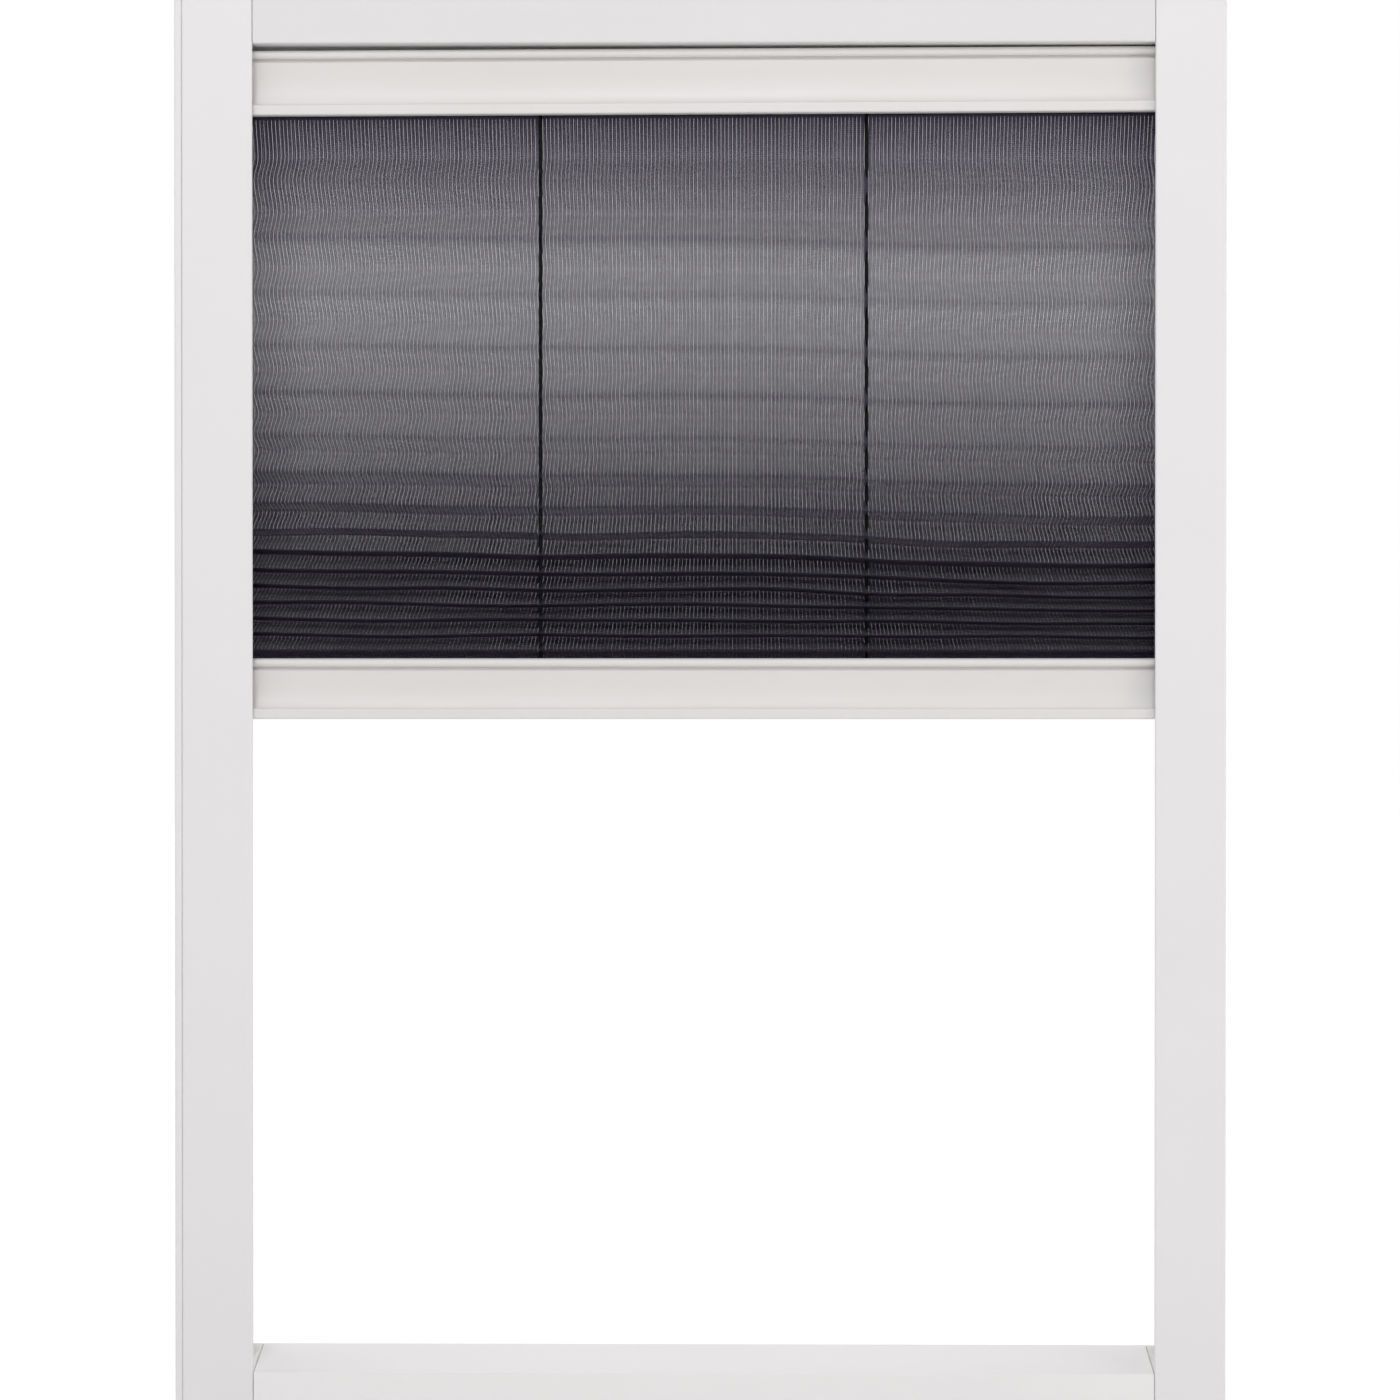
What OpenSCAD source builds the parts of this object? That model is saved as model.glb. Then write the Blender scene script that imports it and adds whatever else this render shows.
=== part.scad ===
// Pleated insect screen for a window.
// Two sliding bars hold a pleated mesh between them and run in the side channels of a white frame.
// The front faces -Y and +Z is up. The origin is at the middle of the underside.

/* [Frame] */
// Overall width, with the edge strip
frame_w = 400; // [360:1:900]
// Overall height
frame_h = 560; // [520:1:1200]
// Depth from the front face to the back face
frame_d = 30; // [29:0.5:40]
// Width of the front face of a jamb
jamb_face = 27; // [26:0.5:40]
// Height of the front face of a rail
rail_face = 27; // [22:0.5:40]
// Wall thickness of the jambs and rails
wall = 1.5; // [1.2:0.1:1.8]
// Radius along the outer edges of the jambs and rails
edge_r = 0.8; // [0.3:0.1:1.1]
// How much shorter the back flange of a jamb is than its front flange
back_setback = 5; // [4:0.5:6]
// Rise of the sill from its front edge to its back edge
sill_rise = 5.5; // [2:0.5:8]
// Gap of the butt joint between a rail and a jamb
joint_gap = 0.2; // [0.1:0.05:0.5]
// Width of the slim strip along the outer left edge
edge_strip_w = 2.8; // [2:0.1:5]
// Depth of the edge strip
edge_strip_d = 12; // [8:0.5:14]

/* [Bars] */
// Height of a bar
bar_h = 23.2; // [21:0.1:30]
// Depth of a bar from its face to its back
bar_d = 18.8; // [18:0.1:20]
// Distance of the bar's face behind the front of the frame
bar_setback = 5.7; // [5.2:0.1:7]
// Wall thickness of a bar
bar_wall = 1.3; // [1:0.1:1.6]
// Length of bar that sits inside each jamb
bar_insert = 9; // [7:0.5:10]
// Diameter of the round bead along the head of a bar
bead_d = 3.2; // [2.4:0.1:4]
// How far the bead stands in front of the face
bead_proj = 1; // [0.5:0.1:1.5]
// Height of the groove under the bead
groove_h = 1.5; // [0.8:0.1:2]
// Depth of that groove behind the face
groove_d = 1.6; // [0.8:0.1:2]
// Hollow of the concave face
face_sag = 1.2; // [0.5:0.1:1.5]
// Height of the finger lip along the foot of a bar
lip_h = 4.2; // [3:0.1:6]
// How far the lip stands in front of the face
lip_proj = 2.9; // [1.5:0.1:3.2]
// Gap between the top rail and the upper bar at rest
upper_gap = 1.2; // [0.8:0.1:6]
// How far the lip of the upper bar hangs below its underside
upper_foot = 1.9; // [0:0.1:2.4]
// How much lower the left end of the upper bar hangs than its right end
upper_drop = 1.2; // [0:0.1:1.4]
// Height of the underside of the lower bar at rest
lower_bar_z = 276; // [150:1:300]

/* [Mesh] */
// Number of pleats between the bars
pleat_count = 17; // [14:1:30]
// Width of one pleat face from fold to fold
pleat_face = 16.4; // [15.5:0.1:17]
// Difference in pitch between the stretched and the stacked pleats
pleat_spread = 16.8; // [4:0.2:20]
// Thickness of the mesh
mesh_t = 0.35; // [0.25:0.05:0.5]
// Length of mesh that sits inside each jamb
mesh_insert = 8; // [5:0.5:9]

/* [Cords] */
// Diameter of a guide cord
cord_d = 1.2; // [0.8:0.1:1.6]
// Distance between the two cords where they pass through the mesh
cord_spacing = 125; // [80:1:200]

/* [Fixings] */
// Diameter of the screw holes in the jambs
mount_hole_d = 4.5; // [3.5:0.1:5.5]
// Distance of a screw hole from the nearer end of its jamb
mount_inset = 90; // [60:1:150]

/* [Hidden] */
$fn = 48;

// Colours
white_paint = "#E4E2E2";
white_plastic = "#DEDCD9";
pile_grey = "#8A8A8C";
mesh_black = "#3A383E";
cord_black = "#141416";
steel = "#B4B6B8";

// Clearances of seated, sliding and countersunk pieces, room round a cord, and overlap of a cut
fit = 0.15;
run = 0.3;
head_room = 2 * fit;
cord_room = 0.5;
hole_room = 0.6;
cut = 1;

// Frame layout
front_y = -frame_d / 2;
back_y = frame_d / 2;
outer_l = -frame_w / 2 + edge_strip_w;
outer_r = frame_w / 2;
open_l = outer_l + jamb_face;
open_r = outer_r - jamb_face;
open_w = open_r - open_l;
open_mid = (open_l + open_r) / 2;
web_in = outer_l + wall;
channel_half = frame_d / 2 - wall;
sill_top = rail_face + sill_rise;
upper_z = frame_h - rail_face - upper_gap - bar_h;
lower_z = lower_bar_z;

// Bar layout
face_y = front_y + bar_setback;
bar_back = face_y + bar_d;
hollow_front = face_y + max(face_sag, groove_d) + bar_wall;
hollow_back = bar_back - bar_wall;
bar_end = open_l - bar_insert;
bar_len = open_w + 2 * bar_insert;
groove_z = bar_h - bead_d - groove_h;
cord_level = bar_h / 2;
upper_tilt = atan(upper_drop / bar_len);

// Strip inside a bar that clamps the edge of the mesh
strip_w = 4;
strip_h = 3;
strip_slit = 0.9;
strip_grip = 2.4;
slot_w = 2;
slot_y = hollow_back - strip_w / 2;
strip_front = hollow_back - strip_w;

// Pile seal and the two ribs that hold it on the back flange
seal_w = 4.8;
seal_base = 1;
pile_w = 2.8;
rib_t = 0.8;
rib_h = 1.4;
seal_x1 = jamb_face - back_setback - wall / 2 - rib_t;
seal_x0 = seal_x1 - seal_w;

// End glide that runs in the jamb
shoe_inset = 1.5;
shoe_pad = 6;
shoe_relief = 1.5;
web_clear = 3;
shoe_l = web_in + web_clear;
shoe_r = outer_l + seal_x0 - rib_t - run;
neck_inset = 1;
neck_back = min(bar_back - neck_inset, channel_half - seal_base - run);
plug_len = 12;
passage_d = 4.5;
jamb_cord_x = (shoe_l + shoe_r) / 2;

// Corner connector, its screws and the cord anchor in it
spigot_len = 20;
spigot_wall = 2.5;
screw_d = 3.6;
screw_head_d = 6.2;
screw_len = 11;
screw_y = 5;
screw_head_h = (screw_head_d - screw_d) / 2;
anchor_d = 7;
anchor_flange_d = 9;
anchor_flange_t = 1.2;
anchor_len = 8;
anchor_hold = 5;

// Cord route: one cord runs in front of the other, so that they pass inside the lower bar
cord_mid_y = (hollow_front + strip_front) / 2;
cord_half_gap = 1.5;
left_cord_y = cord_mid_y - cord_half_gap;
right_cord_y = cord_mid_y + cord_half_gap;
cord_bend = 3;
bend_steps = 3;
cord_sides = 8;
mesh_hole_d = cord_d + 2 * hole_room;
hole_sides = 8;
eyelet_bore = cord_d + 2 * cord_room;
eyelet_d = 3.8;
eyelet_flange_d = 5.2;
eyelet_flange_t = 0.8;

// Pleats: stretched under the upper bar, stacked on the lower bar
mesh_top = upper_z;
mesh_bottom = lower_z + bar_h;
pleat_mid_y = (face_y + bar_back) / 2;
first_drop = 5;
last_rise = 3.5;
tab_gap = mesh_t + upper_drop / 2;
tab_in = bar_wall + strip_grip - run - upper_drop / 2;
open_share = 0.95;
stacked_layers = 6;
stacked_share = 0.72;
pitch_count = pleat_count - 1;
stacked_from = round(stacked_share * pleat_count);
mean_pitch = (mesh_top - first_drop - mesh_bottom - last_rise) / pitch_count;
widest_pitch = open_share * 2 * pleat_face;
tightest_pitch = stacked_layers * mesh_t;
weights = [for (i = [0 : pitch_count - 1]) (1 + cos(180 * min(i / stacked_from, 1))) / 2];
mean_weight = total(weights, pitch_count) / pitch_count;
stretch_room = (widest_pitch - mean_pitch) / (1 - mean_weight);
stack_room = (mean_pitch - tightest_pitch) / mean_weight;
spread = min(pleat_spread, stretch_room, stack_room);
pitches = [for (w = weights) mean_pitch + spread * (w - mean_weight)];

// Sum of the first n values of a list
function total(list, n) = n == 0 ? 0 : list[n - 1] + total(list, n - 1);

// Depth of a pleat whose faces keep their width at the given pitch
function pleat_depth(pitch) = sqrt(pow(pleat_face, 2) - pow(pitch / 2, 2));

function front_fold_z(i) = mesh_top - first_drop - total(pitches, i);

function fold_depth(i) = pleat_depth(pitches[min(i, pitch_count - 1)]);

// Half the width of the mesh at a fold, measured in Y, for faces of even thickness
function fold_half(i) = mesh_t * pleat_face / pitches[min(i, pitch_count - 1)];

// A fold is its depth, its height and its half width
function front_fold(i) = [pleat_mid_y - fold_depth(i) / 2, front_fold_z(i), fold_half(i)];

function back_fold(i) = [
  pleat_mid_y + fold_depth(i) / 2,
  (front_fold_z(i) + front_fold_z(i + 1)) / 2,
  fold_half(i)
];

// Mirrors a left-hand piece to the right-hand jamb
module on_right() {
  translate([2 * open_mid, 0, 0]) mirror([1, 0, 0]) children();
}

// Extrudes a section drawn in Y and Z along X
module along_x(x0, length) {
  translate([x0, 0, 0]) rotate([90, 0, 90]) linear_extrude(length) children();
}

module box(x, y, z) {
  translate([x[0], y[0], z[0]]) cube([x[1] - x[0], y[1] - y[0], z[1] - z[0]]);
}

module rounded_rect(w, h, r) {
  translate([r, 0]) square([w - 2 * r, h]);
  translate([0, r]) square([w, h - 2 * r]);
  for (x = [r, w - r], y = [r, h - r]) translate([x, y]) circle(r);
}

// Flange of a jamb with a rounded outer corner and a round tip, its outer face at y = 0
module flange_section(width) {
  translate([edge_r, 0]) square([width - edge_r - wall / 2, wall]);
  translate([edge_r, edge_r]) circle(edge_r);
  translate([width - wall / 2, wall / 2]) circle(d = wall);
}

// Section of a jamb, its outer face at x = 0 and the opening towards +x
module jamb_section() {
  translate([0, front_y + edge_r]) square([wall, frame_d - 2 * edge_r]);
  translate([0, front_y]) flange_section(jamb_face);
  translate([0, back_y]) mirror([0, 1]) flange_section(jamb_face - back_setback);
  for (x = [seal_x0 - rib_t, seal_x1])
    translate([x, back_y - wall - rib_h]) square([rib_t, rib_h + wall / 2]);
}

// Screw along +X from a head that is flush at x = 0
module screw() {
  rotate([0, 90, 0]) cylinder(h = screw_head_h, d1 = screw_head_d, d2 = screw_d);
  rotate([0, 90, 0]) cylinder(h = screw_len, d = screw_d);
}

// Clearance for that screw
module screw_hole() {
  translate([-fit, 0, 0]) rotate([0, 90, 0])
    cylinder(h = screw_head_h + fit, d1 = screw_head_d + 2 * head_room, d2 = screw_d + 2 * fit);
  rotate([0, 90, 0]) cylinder(h = screw_len + cut, d = screw_d + 2 * fit);
}

// Side screws through the left jamb and back screws through the rails, at the left end
module left_screw_places() {
  for (z = [rail_face / 2, frame_h - rail_face / 2]) {
    translate([outer_l, screw_y, z]) children();
    translate([open_l + spigot_len / 2, back_y, z]) rotate([0, 0, -90]) children();
  }
}

module jamb() {
  difference() {
    translate([outer_l, 0, 0]) linear_extrude(frame_h) jamb_section();
    left_screw_places() screw_hole();
    for (z = [mount_inset, frame_h - mount_inset])
      translate([outer_l - cut, screw_y, z]) rotate([0, 90, 0])
        cylinder(h = wall + 2 * cut, d = mount_hole_d);
  }
}

module left_jamb() {
  color(white_paint) jamb();
}

module right_jamb() {
  color(white_paint) on_right() jamb();
}

module left_edge_strip() {
  color(white_paint)
    translate([-frame_w / 2, front_y, 0]) linear_extrude(frame_h)
      rounded_rect(edge_strip_w, edge_strip_d, edge_r);
}

module top_rail() {
  color(white_paint) difference() {
    along_x(open_l + joint_gap, open_w - 2 * joint_gap) difference() {
      translate([front_y, frame_h - rail_face]) rounded_rect(frame_d, rail_face, edge_r);
      translate([front_y + wall, frame_h - rail_face + wall])
        square([frame_d - 2 * wall, rail_face - 2 * wall]);
    }
    left_screw_places() screw_hole();
    on_right() left_screw_places() screw_hole();
  }
}

// Section of the sill, whose top slopes up from front to back
module sill_section(inset) {
  polygon([
    [front_y + inset, inset],
    [back_y - inset, inset],
    [back_y - inset, sill_top - inset],
    [front_y + inset, rail_face - inset]
  ]);
}

module bottom_rail() {
  color(white_paint) difference() {
    along_x(open_l + joint_gap, open_w - 2 * joint_gap) difference() {
      sill_section(0);
      sill_section(wall);
    }
    left_screw_places() screw_hole();
    on_right() left_screw_places() screw_hole();
  }
}

// Connector at the head of the left jamb: a block in the channel and a hollow spigot in the rail.
// seat_z is the face that meets the channel, end_z the end of the jamb, and rail_z the rail's hollow.
module corner(seat_z, end_z, rail_z) {
  block_z = [min(seat_z, end_z), max(seat_z, end_z)];
  spigot_r = open_l + spigot_len;
  half = channel_half - fit;
  difference() {
    union() {
      box([web_in, open_l], [-channel_half, channel_half], block_z);
      box([open_l - back_setback + fit, open_l], [0, back_y], block_z);
      box([open_l - cut, spigot_r], [-half, half], rail_z);
    }
    box([open_l + spigot_wall, spigot_r + cut], [-half + spigot_wall, half - spigot_wall],
      [rail_z[0] + spigot_wall, rail_z[1] - spigot_wall]);
    box([outer_l + seal_x0 - rib_t - fit, outer_l + seal_x1 + rib_t + fit],
      [channel_half - rib_h - fit, channel_half + cut], [block_z[0] - cut, block_z[1] + cut]);
    translate([jamb_cord_x, cord_mid_y, seat_z])
      cylinder(h = 2 * (anchor_len + fit), d = anchor_d + 2 * fit, center = true);
    left_screw_places() screw_hole();
  }
}

module top_corner() {
  rail_in = frame_h - rail_face + wall + fit;
  corner(frame_h - rail_face, frame_h, [rail_in, frame_h - wall - fit]);
}

module bottom_corner() {
  corner(sill_top, 0, [wall + fit, rail_face - wall - fit]);
}

module top_left_corner() {
  color(white_plastic) top_corner();
}

module top_right_corner() {
  color(white_plastic) on_right() top_corner();
}

module bottom_left_corner() {
  color(white_plastic) bottom_corner();
}

module bottom_right_corner() {
  color(white_plastic) on_right() bottom_corner();
}

module corner_screws() {
  color(steel) {
    left_screw_places() screw();
    on_right() left_screw_places() screw();
  }
}

module pile_seal() {
  x0 = outer_l + seal_x0 + fit;
  pile_x0 = outer_l + (seal_x0 + seal_x1 - pile_w) / 2;
  z = [sill_top, frame_h - rail_face];
  box([x0, x0 + seal_w - 2 * fit], [channel_half - seal_base, channel_half], z);
  box([pile_x0, pile_x0 + pile_w], [bar_back + run, channel_half - seal_base / 2], z);
}

module left_pile_seal() {
  color(pile_grey) pile_seal();
}

module right_pile_seal() {
  color(pile_grey) on_right() pile_seal();
}

// Peg with a flange that grips the end of a cord, its flange seated at z = 0 and its peg along +z
module cord_anchor(cord_y) {
  difference() {
    union() {
      cylinder(h = anchor_len, d = anchor_d);
      translate([0, 0, -anchor_flange_t]) cylinder(h = anchor_flange_t, d = anchor_flange_d);
    }
    translate([0, cord_y - cord_mid_y, -anchor_flange_t - cut])
      cylinder(h = anchor_flange_t + cut + anchor_hold + fit, d = cord_d + 2 * fit);
  }
}

module top_cord_anchors() {
  color(white_plastic) translate([0, cord_mid_y, frame_h - rail_face]) {
    translate([jamb_cord_x, 0, 0]) cord_anchor(left_cord_y);
    on_right() translate([jamb_cord_x, 0, 0]) cord_anchor(right_cord_y);
  }
}

module bottom_cord_anchors() {
  color(white_plastic) translate([0, cord_mid_y, sill_top]) mirror([0, 0, 1]) {
    translate([jamb_cord_x, 0, 0]) cord_anchor(right_cord_y);
    on_right() translate([jamb_cord_x, 0, 0]) cord_anchor(left_cord_y);
  }
}

// Points of a rounded square corner at p between its neighbours before and after
function corner_points(before, p, after) =
  let(
    u = (before - p) / norm(before - p),
    v = (after - p) / norm(after - p),
    centre = p + cord_bend * (u + v)
  )
  [for (k = [0 : bend_steps])
    let(a = 90 * k / bend_steps)
    centre - cord_bend * (v * cos(a) + u * sin(a))];

// Route with its square corners rounded, as a flat list of points
function rounded_route(route) = [
  route[0],
  for (i = [1 : len(route) - 2]) each corner_points(route[i - 1], route[i], route[i + 1]),
  route[len(route) - 1]
];

// Round cord along a route in X and Z at one depth
module cord(route, y) {
  path = rounded_route(route);
  last = len(path) - 1;
  points = [for (i = [0 : last])
    let(
      ahead = path[min(i + 1, last)] - path[max(i - 1, 0)],
      side = [-ahead[1], ahead[0]] / norm(ahead)
    )
    for (k = [0 : cord_sides - 1])
      let(
        a = 360 * k / cord_sides,
        out = cord_d / 2 * cos(a) * side
      )
      [path[i][0] + out[0], y + cord_d / 2 * sin(a), path[i][1] + out[1]]];
  sides = [for (i = [0 : last - 1], k = [0 : cord_sides - 1])
    let(n = (k + 1) % cord_sides)
    [i * cord_sides + k, i * cord_sides + n, (i + 1) * cord_sides + n, (i + 1) * cord_sides + k]];
  start_cap = [[for (k = [cord_sides - 1 : -1 : 0]) k]];
  end_cap = [[for (k = [0 : cord_sides - 1]) last * cord_sides + k]];
  polyhedron(points, concat(start_cap, sides, end_cap));
}

// Route from the head of one jamb, through both bars and the mesh, to the foot of the other jamb
module cord_from_left(y) {
  mesh_x = open_mid - cord_spacing / 2;
  far_x = 2 * open_mid - jamb_cord_x;
  cord([
    [jamb_cord_x, frame_h - rail_face + anchor_hold],
    [jamb_cord_x, upper_z + cord_level],
    [mesh_x, upper_z + cord_level],
    [mesh_x, lower_z + cord_level],
    [far_x, lower_z + cord_level],
    [far_x, sill_top - anchor_hold]
  ], y);
}

module left_cord() {
  color(cord_black) cord_from_left(left_cord_y);
}

module right_cord() {
  color(cord_black) on_right() cord_from_left(right_cord_y);
}

// Section of the pleated mesh, with straight tabs that reach into the bars
module mesh_section() {
  folds = [
    [slot_y, mesh_top + tab_in, mesh_t / 2],
    [slot_y, mesh_top - tab_gap, mesh_t / 2],
    for (i = [0 : pitch_count - 1]) each [front_fold(i), back_fold(i)],
    front_fold(pitch_count),
    [slot_y, mesh_bottom + tab_gap, mesh_t / 2],
    [slot_y, mesh_bottom - tab_in, mesh_t / 2]
  ];
  last = len(folds) - 1;
  behind = [for (f = folds) [f[0] + f[2], f[1]]];
  ahead = [for (i = [last : -1 : 0]) [folds[i][0] - folds[i][2], folds[i][1]]];
  polygon(concat(behind, ahead));
}

// Mesh with a punched hole in each pleat face where a cord passes through
module pleated_mesh() {
  color(mesh_black) difference() {
    along_x(open_l - mesh_insert, open_w + 2 * mesh_insert) mesh_section();
    eyelet_places(mesh_bottom) cylinder(h = mesh_top - mesh_bottom, d = mesh_hole_d, $fn = hole_sides);
  }
}

// Front of a bar: bead along the head, groove, concave face and finger lip.
// foot is how far the lip hangs below the underside.
module bar_outline(foot) {
  lip_top = lip_h - foot;
  chord = groove_z - lip_top;
  sag_r = pow(chord, 2) / (8 * face_sag) + face_sag / 2;
  difference() {
    union() {
      translate([face_y, 0]) square([bar_d, bar_h - bead_d / 2]);
      translate([face_y - bead_proj + bead_d / 2, 0]) square([bar_d + bead_proj - bead_d / 2, bar_h]);
      translate([face_y - bead_proj + bead_d / 2, bar_h - bead_d / 2]) circle(d = bead_d);
      translate([face_y - lip_proj + edge_r, -foot]) square([lip_proj, lip_h]);
      translate([face_y - lip_proj, edge_r - foot]) square([lip_proj, lip_h - 2 * edge_r]);
      for (z = [edge_r - foot, lip_top - edge_r])
        translate([face_y - lip_proj + edge_r, z]) circle(edge_r);
    }
    translate([face_y - bead_d, groove_z]) square([bead_d + groove_d, groove_h]);
    intersection() {
      translate([face_y - sag_r + face_sag, lip_top + chord / 2]) circle(sag_r);
      translate([face_y - sag_r, lip_top]) square([2 * sag_r, chord]);
    }
  }
}

// Hollow extrusion of a bar, drawn from its foot up. Its mesh slot and cord holes are at mesh_z.
module bar(mesh_z, foot) {
  difference() {
    along_x(bar_end, bar_len) difference() {
      bar_outline(foot);
      translate([hollow_front, bar_wall]) square([hollow_back - hollow_front, bar_h - 2 * bar_wall]);
      translate([slot_y - slot_w / 2, mesh_z - bar_wall]) square([slot_w, 2 * bar_wall]);
    }
    eyelet_places(mesh_z) cylinder(h = 2 * (bar_wall + cut), d = eyelet_d + 2 * fit, center = true);
  }
}

// Where the cords enter a bar
module eyelet_places(z) {
  translate([open_mid - cord_spacing / 2, left_cord_y, z]) children();
  translate([open_mid + cord_spacing / 2, right_cord_y, z]) children();
}

// Bush with its flange inside the bar, drawn with the bar's outer face at z = 0
module eyelet() {
  difference() {
    union() {
      cylinder(h = bar_wall + eyelet_flange_t, d = eyelet_d);
      translate([0, 0, bar_wall]) cylinder(h = eyelet_flange_t, d = eyelet_flange_d);
    }
    translate([0, 0, -cut]) cylinder(h = bar_wall + eyelet_flange_t + 2 * cut, d = eyelet_bore);
  }
}

// Clamp strip that grips the edge of the mesh from inside the bar, seated on the wall at z = bar_wall
module mesh_strip() {
  along_x(bar_end, bar_len) difference() {
    translate([strip_front, bar_wall]) square([strip_w, strip_h]);
    translate([slot_y - strip_slit / 2, bar_wall - cut]) square([strip_slit, strip_grip + cut]);
  }
}

// End glide: a shoe between the flanges of the jamb, a neck, and a plug in the bar.
// cord_y is the depth of the cord that turns in it, and the cord leaves through its head.
module end_glide(cord_y) {
  half = channel_half - run;
  shoe_z = [shoe_inset, bar_h - shoe_inset];
  relief_z = [shoe_inset + shoe_pad, bar_h - shoe_inset - shoe_pad];
  difference() {
    union() {
      box([shoe_l, shoe_r], [-half, half], shoe_z);
      box([shoe_r - cut, bar_end], [hollow_front, neck_back], shoe_z);
      box([bar_end - cut, bar_end + plug_len], [hollow_front + fit, strip_front - fit],
        [bar_wall + fit, bar_h - bar_wall - fit]);
    }
    for (y = [-half, half])
      box([shoe_l - cut, shoe_r + cut], [y - shoe_relief, y + shoe_relief], relief_z);
    translate([jamb_cord_x, cord_y, cord_level]) rotate([0, 90, 0])
      cylinder(h = bar_end + plug_len + cut - jamb_cord_x, d = passage_d);
    translate([jamb_cord_x, cord_y, cord_level]) sphere(d = passage_d);
    translate([jamb_cord_x, cord_y, cord_level]) cylinder(h = bar_h, d = passage_d);
  }
}

// Places what is drawn from the foot of a bar up, and tilts it with the upper bar
module in_upper_bar() {
  translate([open_mid, 0, upper_z]) rotate([0, -upper_tilt, 0]) translate([-open_mid, 0, 0]) children();
}

// Places an inner piece upside down, from the head of the lower bar
module in_lower_bar() {
  translate([0, 0, lower_z + bar_h]) mirror([0, 0, 1]) children();
}

module upper_bar() {
  color(white_paint) in_upper_bar() bar(0, upper_foot);
}

module upper_mesh_strip() {
  color(white_plastic) in_upper_bar() mesh_strip();
}

module upper_left_glide() {
  color(white_plastic) in_upper_bar() end_glide(left_cord_y);
}

module upper_right_glide() {
  color(white_plastic) in_upper_bar() on_right() end_glide(right_cord_y);
}

module upper_eyelets() {
  color(white_plastic) in_upper_bar() eyelet_places(0) eyelet();
}

module lower_bar() {
  color(white_paint) translate([0, 0, lower_z]) bar(bar_h, 0);
}

module lower_mesh_strip() {
  color(white_plastic) in_lower_bar() mesh_strip();
}

module lower_left_glide() {
  color(white_plastic) in_lower_bar() end_glide(right_cord_y);
}

module lower_right_glide() {
  color(white_plastic) in_lower_bar() on_right() end_glide(left_cord_y);
}

module lower_eyelets() {
  color(white_plastic) in_lower_bar() eyelet_places(0) eyelet();
}

left_jamb();
right_jamb();
left_edge_strip();
top_rail();
bottom_rail();
top_left_corner();
top_right_corner();
bottom_left_corner();
bottom_right_corner();
corner_screws();
left_pile_seal();
right_pile_seal();
top_cord_anchors();
bottom_cord_anchors();
left_cord();
right_cord();
pleated_mesh();
upper_bar();
upper_mesh_strip();
upper_left_glide();
upper_right_glide();
upper_eyelets();
lower_bar();
lower_mesh_strip();
lower_left_glide();
lower_right_glide();
lower_eyelets();
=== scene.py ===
"""Looks of a pleated insect screen: a white coated frame, two sliding bars and a pleated dark mesh.

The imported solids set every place. The profiles, bars and fittings keep their solids and get their finishes
here. The mesh and the pile seals are made thread by thread, the guide cords in lengths that follow the bars
and the screws with their recesses, and these replace their plain solids.
"""

import logging
import math
from dataclasses import dataclass
from enum import Enum

import bpy
import numpy as np
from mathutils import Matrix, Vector

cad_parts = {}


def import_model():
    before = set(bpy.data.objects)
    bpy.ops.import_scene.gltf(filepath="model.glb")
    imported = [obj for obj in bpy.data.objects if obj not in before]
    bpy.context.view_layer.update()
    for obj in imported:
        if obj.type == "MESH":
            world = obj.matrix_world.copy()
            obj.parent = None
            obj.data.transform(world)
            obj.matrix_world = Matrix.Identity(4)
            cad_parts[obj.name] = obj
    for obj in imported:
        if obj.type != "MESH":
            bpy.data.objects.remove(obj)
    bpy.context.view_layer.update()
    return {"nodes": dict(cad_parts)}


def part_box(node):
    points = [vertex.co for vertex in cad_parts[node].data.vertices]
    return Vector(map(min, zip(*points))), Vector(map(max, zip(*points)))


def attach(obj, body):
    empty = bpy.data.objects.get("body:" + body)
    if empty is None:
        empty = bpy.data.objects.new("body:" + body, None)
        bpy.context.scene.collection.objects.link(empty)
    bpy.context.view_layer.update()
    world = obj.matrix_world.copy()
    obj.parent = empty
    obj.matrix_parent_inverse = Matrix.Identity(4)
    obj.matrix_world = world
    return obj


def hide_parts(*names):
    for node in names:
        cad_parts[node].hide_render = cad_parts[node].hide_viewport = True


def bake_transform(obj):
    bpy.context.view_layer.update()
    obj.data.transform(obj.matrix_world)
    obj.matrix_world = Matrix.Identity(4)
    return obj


log = logging.getLogger("insect_screen")

MM = 0.001
# Knots of the cloth are counted from its head: two in the tab, then the folds, front and back in turn.
FIRST_FOLD = 2

Point = tuple[float, float, float]
# Vertices in millimetres, one row each, and faces as lists of vertex numbers.
Shape = tuple[np.ndarray, list[list[int]]]


class Grain(Enum):
    """Direction in which a profile was drawn through its die, as texture scales that stretch its marks."""

    ALONG_X = (0.02, 1.0, 1.0)
    ALONG_Z = (1.0, 1.0, 0.02)


class Side(Enum):
    """The two sides of the screen, as seen from the front."""

    LEFT = "left"
    RIGHT = "right"


def hex_to_linear(code: str) -> tuple[float, float, float, float]:
    """Turn an sRGB hex colour into linear values.

    Args:
        code: Colour such as "#E4E2E2".

    Returns:
        Linear red, green, blue and an alpha of 1.
    """
    channels = [int(code[i:i + 2], 16) / 255 for i in (1, 3, 5)]
    linear = [c / 12.92 if c <= 0.04045 else ((c + 0.055) / 1.055) ** 2.4 for c in channels]
    return linear[0], linear[1], linear[2], 1.0


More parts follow.
